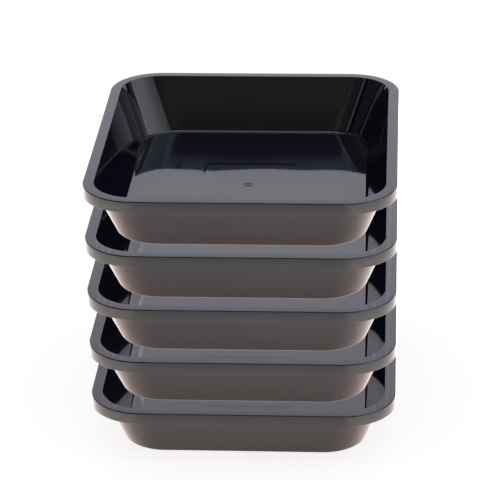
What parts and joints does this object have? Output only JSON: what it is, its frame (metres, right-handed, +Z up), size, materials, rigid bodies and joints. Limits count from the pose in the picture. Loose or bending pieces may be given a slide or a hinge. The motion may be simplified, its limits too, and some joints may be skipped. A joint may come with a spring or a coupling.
{
  "type": "stacked plant tray set",
  "caption": "Set of identical open plant trays held one above the other, each with leaning walls, round corners, a flat floor and a flat rim with a turned-down skirt; the upper trays lift off.",
  "frame": {"origin": "centre of the lowest tray's base, on the surface that the set stands on", "axes": "+Z up, the front of the trays faces -Y (a short side of the rim), X runs left to right"},
  "size_m": [0.3, 0.35, 0.2785],
  "materials": {
    "tray_plastic": "glossy, smooth moulded polypropylene, black with a slight navy cast"
  },
  "bodies": {
    "tray_1": {"tray_1": "tray_plastic"},
    "tray_2": {"tray_2": "tray_plastic"},
    "tray_3": {"tray_3": "tray_plastic"},
    "tray_4": {"tray_4": "tray_plastic"},
    "tray_5": {"tray_5": "tray_plastic"}
  },
  "joints": [
    {"name": "tray_2_lift", "type": "slide", "parent": "tray_1", "child": "tray_2", "axis": [0, 0, 1], "range_m": [0, 0.1]},
    {"name": "tray_3_lift", "type": "slide", "parent": "tray_2", "child": "tray_3", "axis": [0, 0, 1], "range_m": [0, 0.1]},
    {"name": "tray_4_lift", "type": "slide", "parent": "tray_3", "child": "tray_4", "axis": [0, 0, 1], "range_m": [0, 0.1]},
    {"name": "tray_5_lift", "type": "slide", "parent": "tray_4", "child": "tray_5", "axis": [0, 0, 1], "range_m": [0, 0.1]}
  ]
}
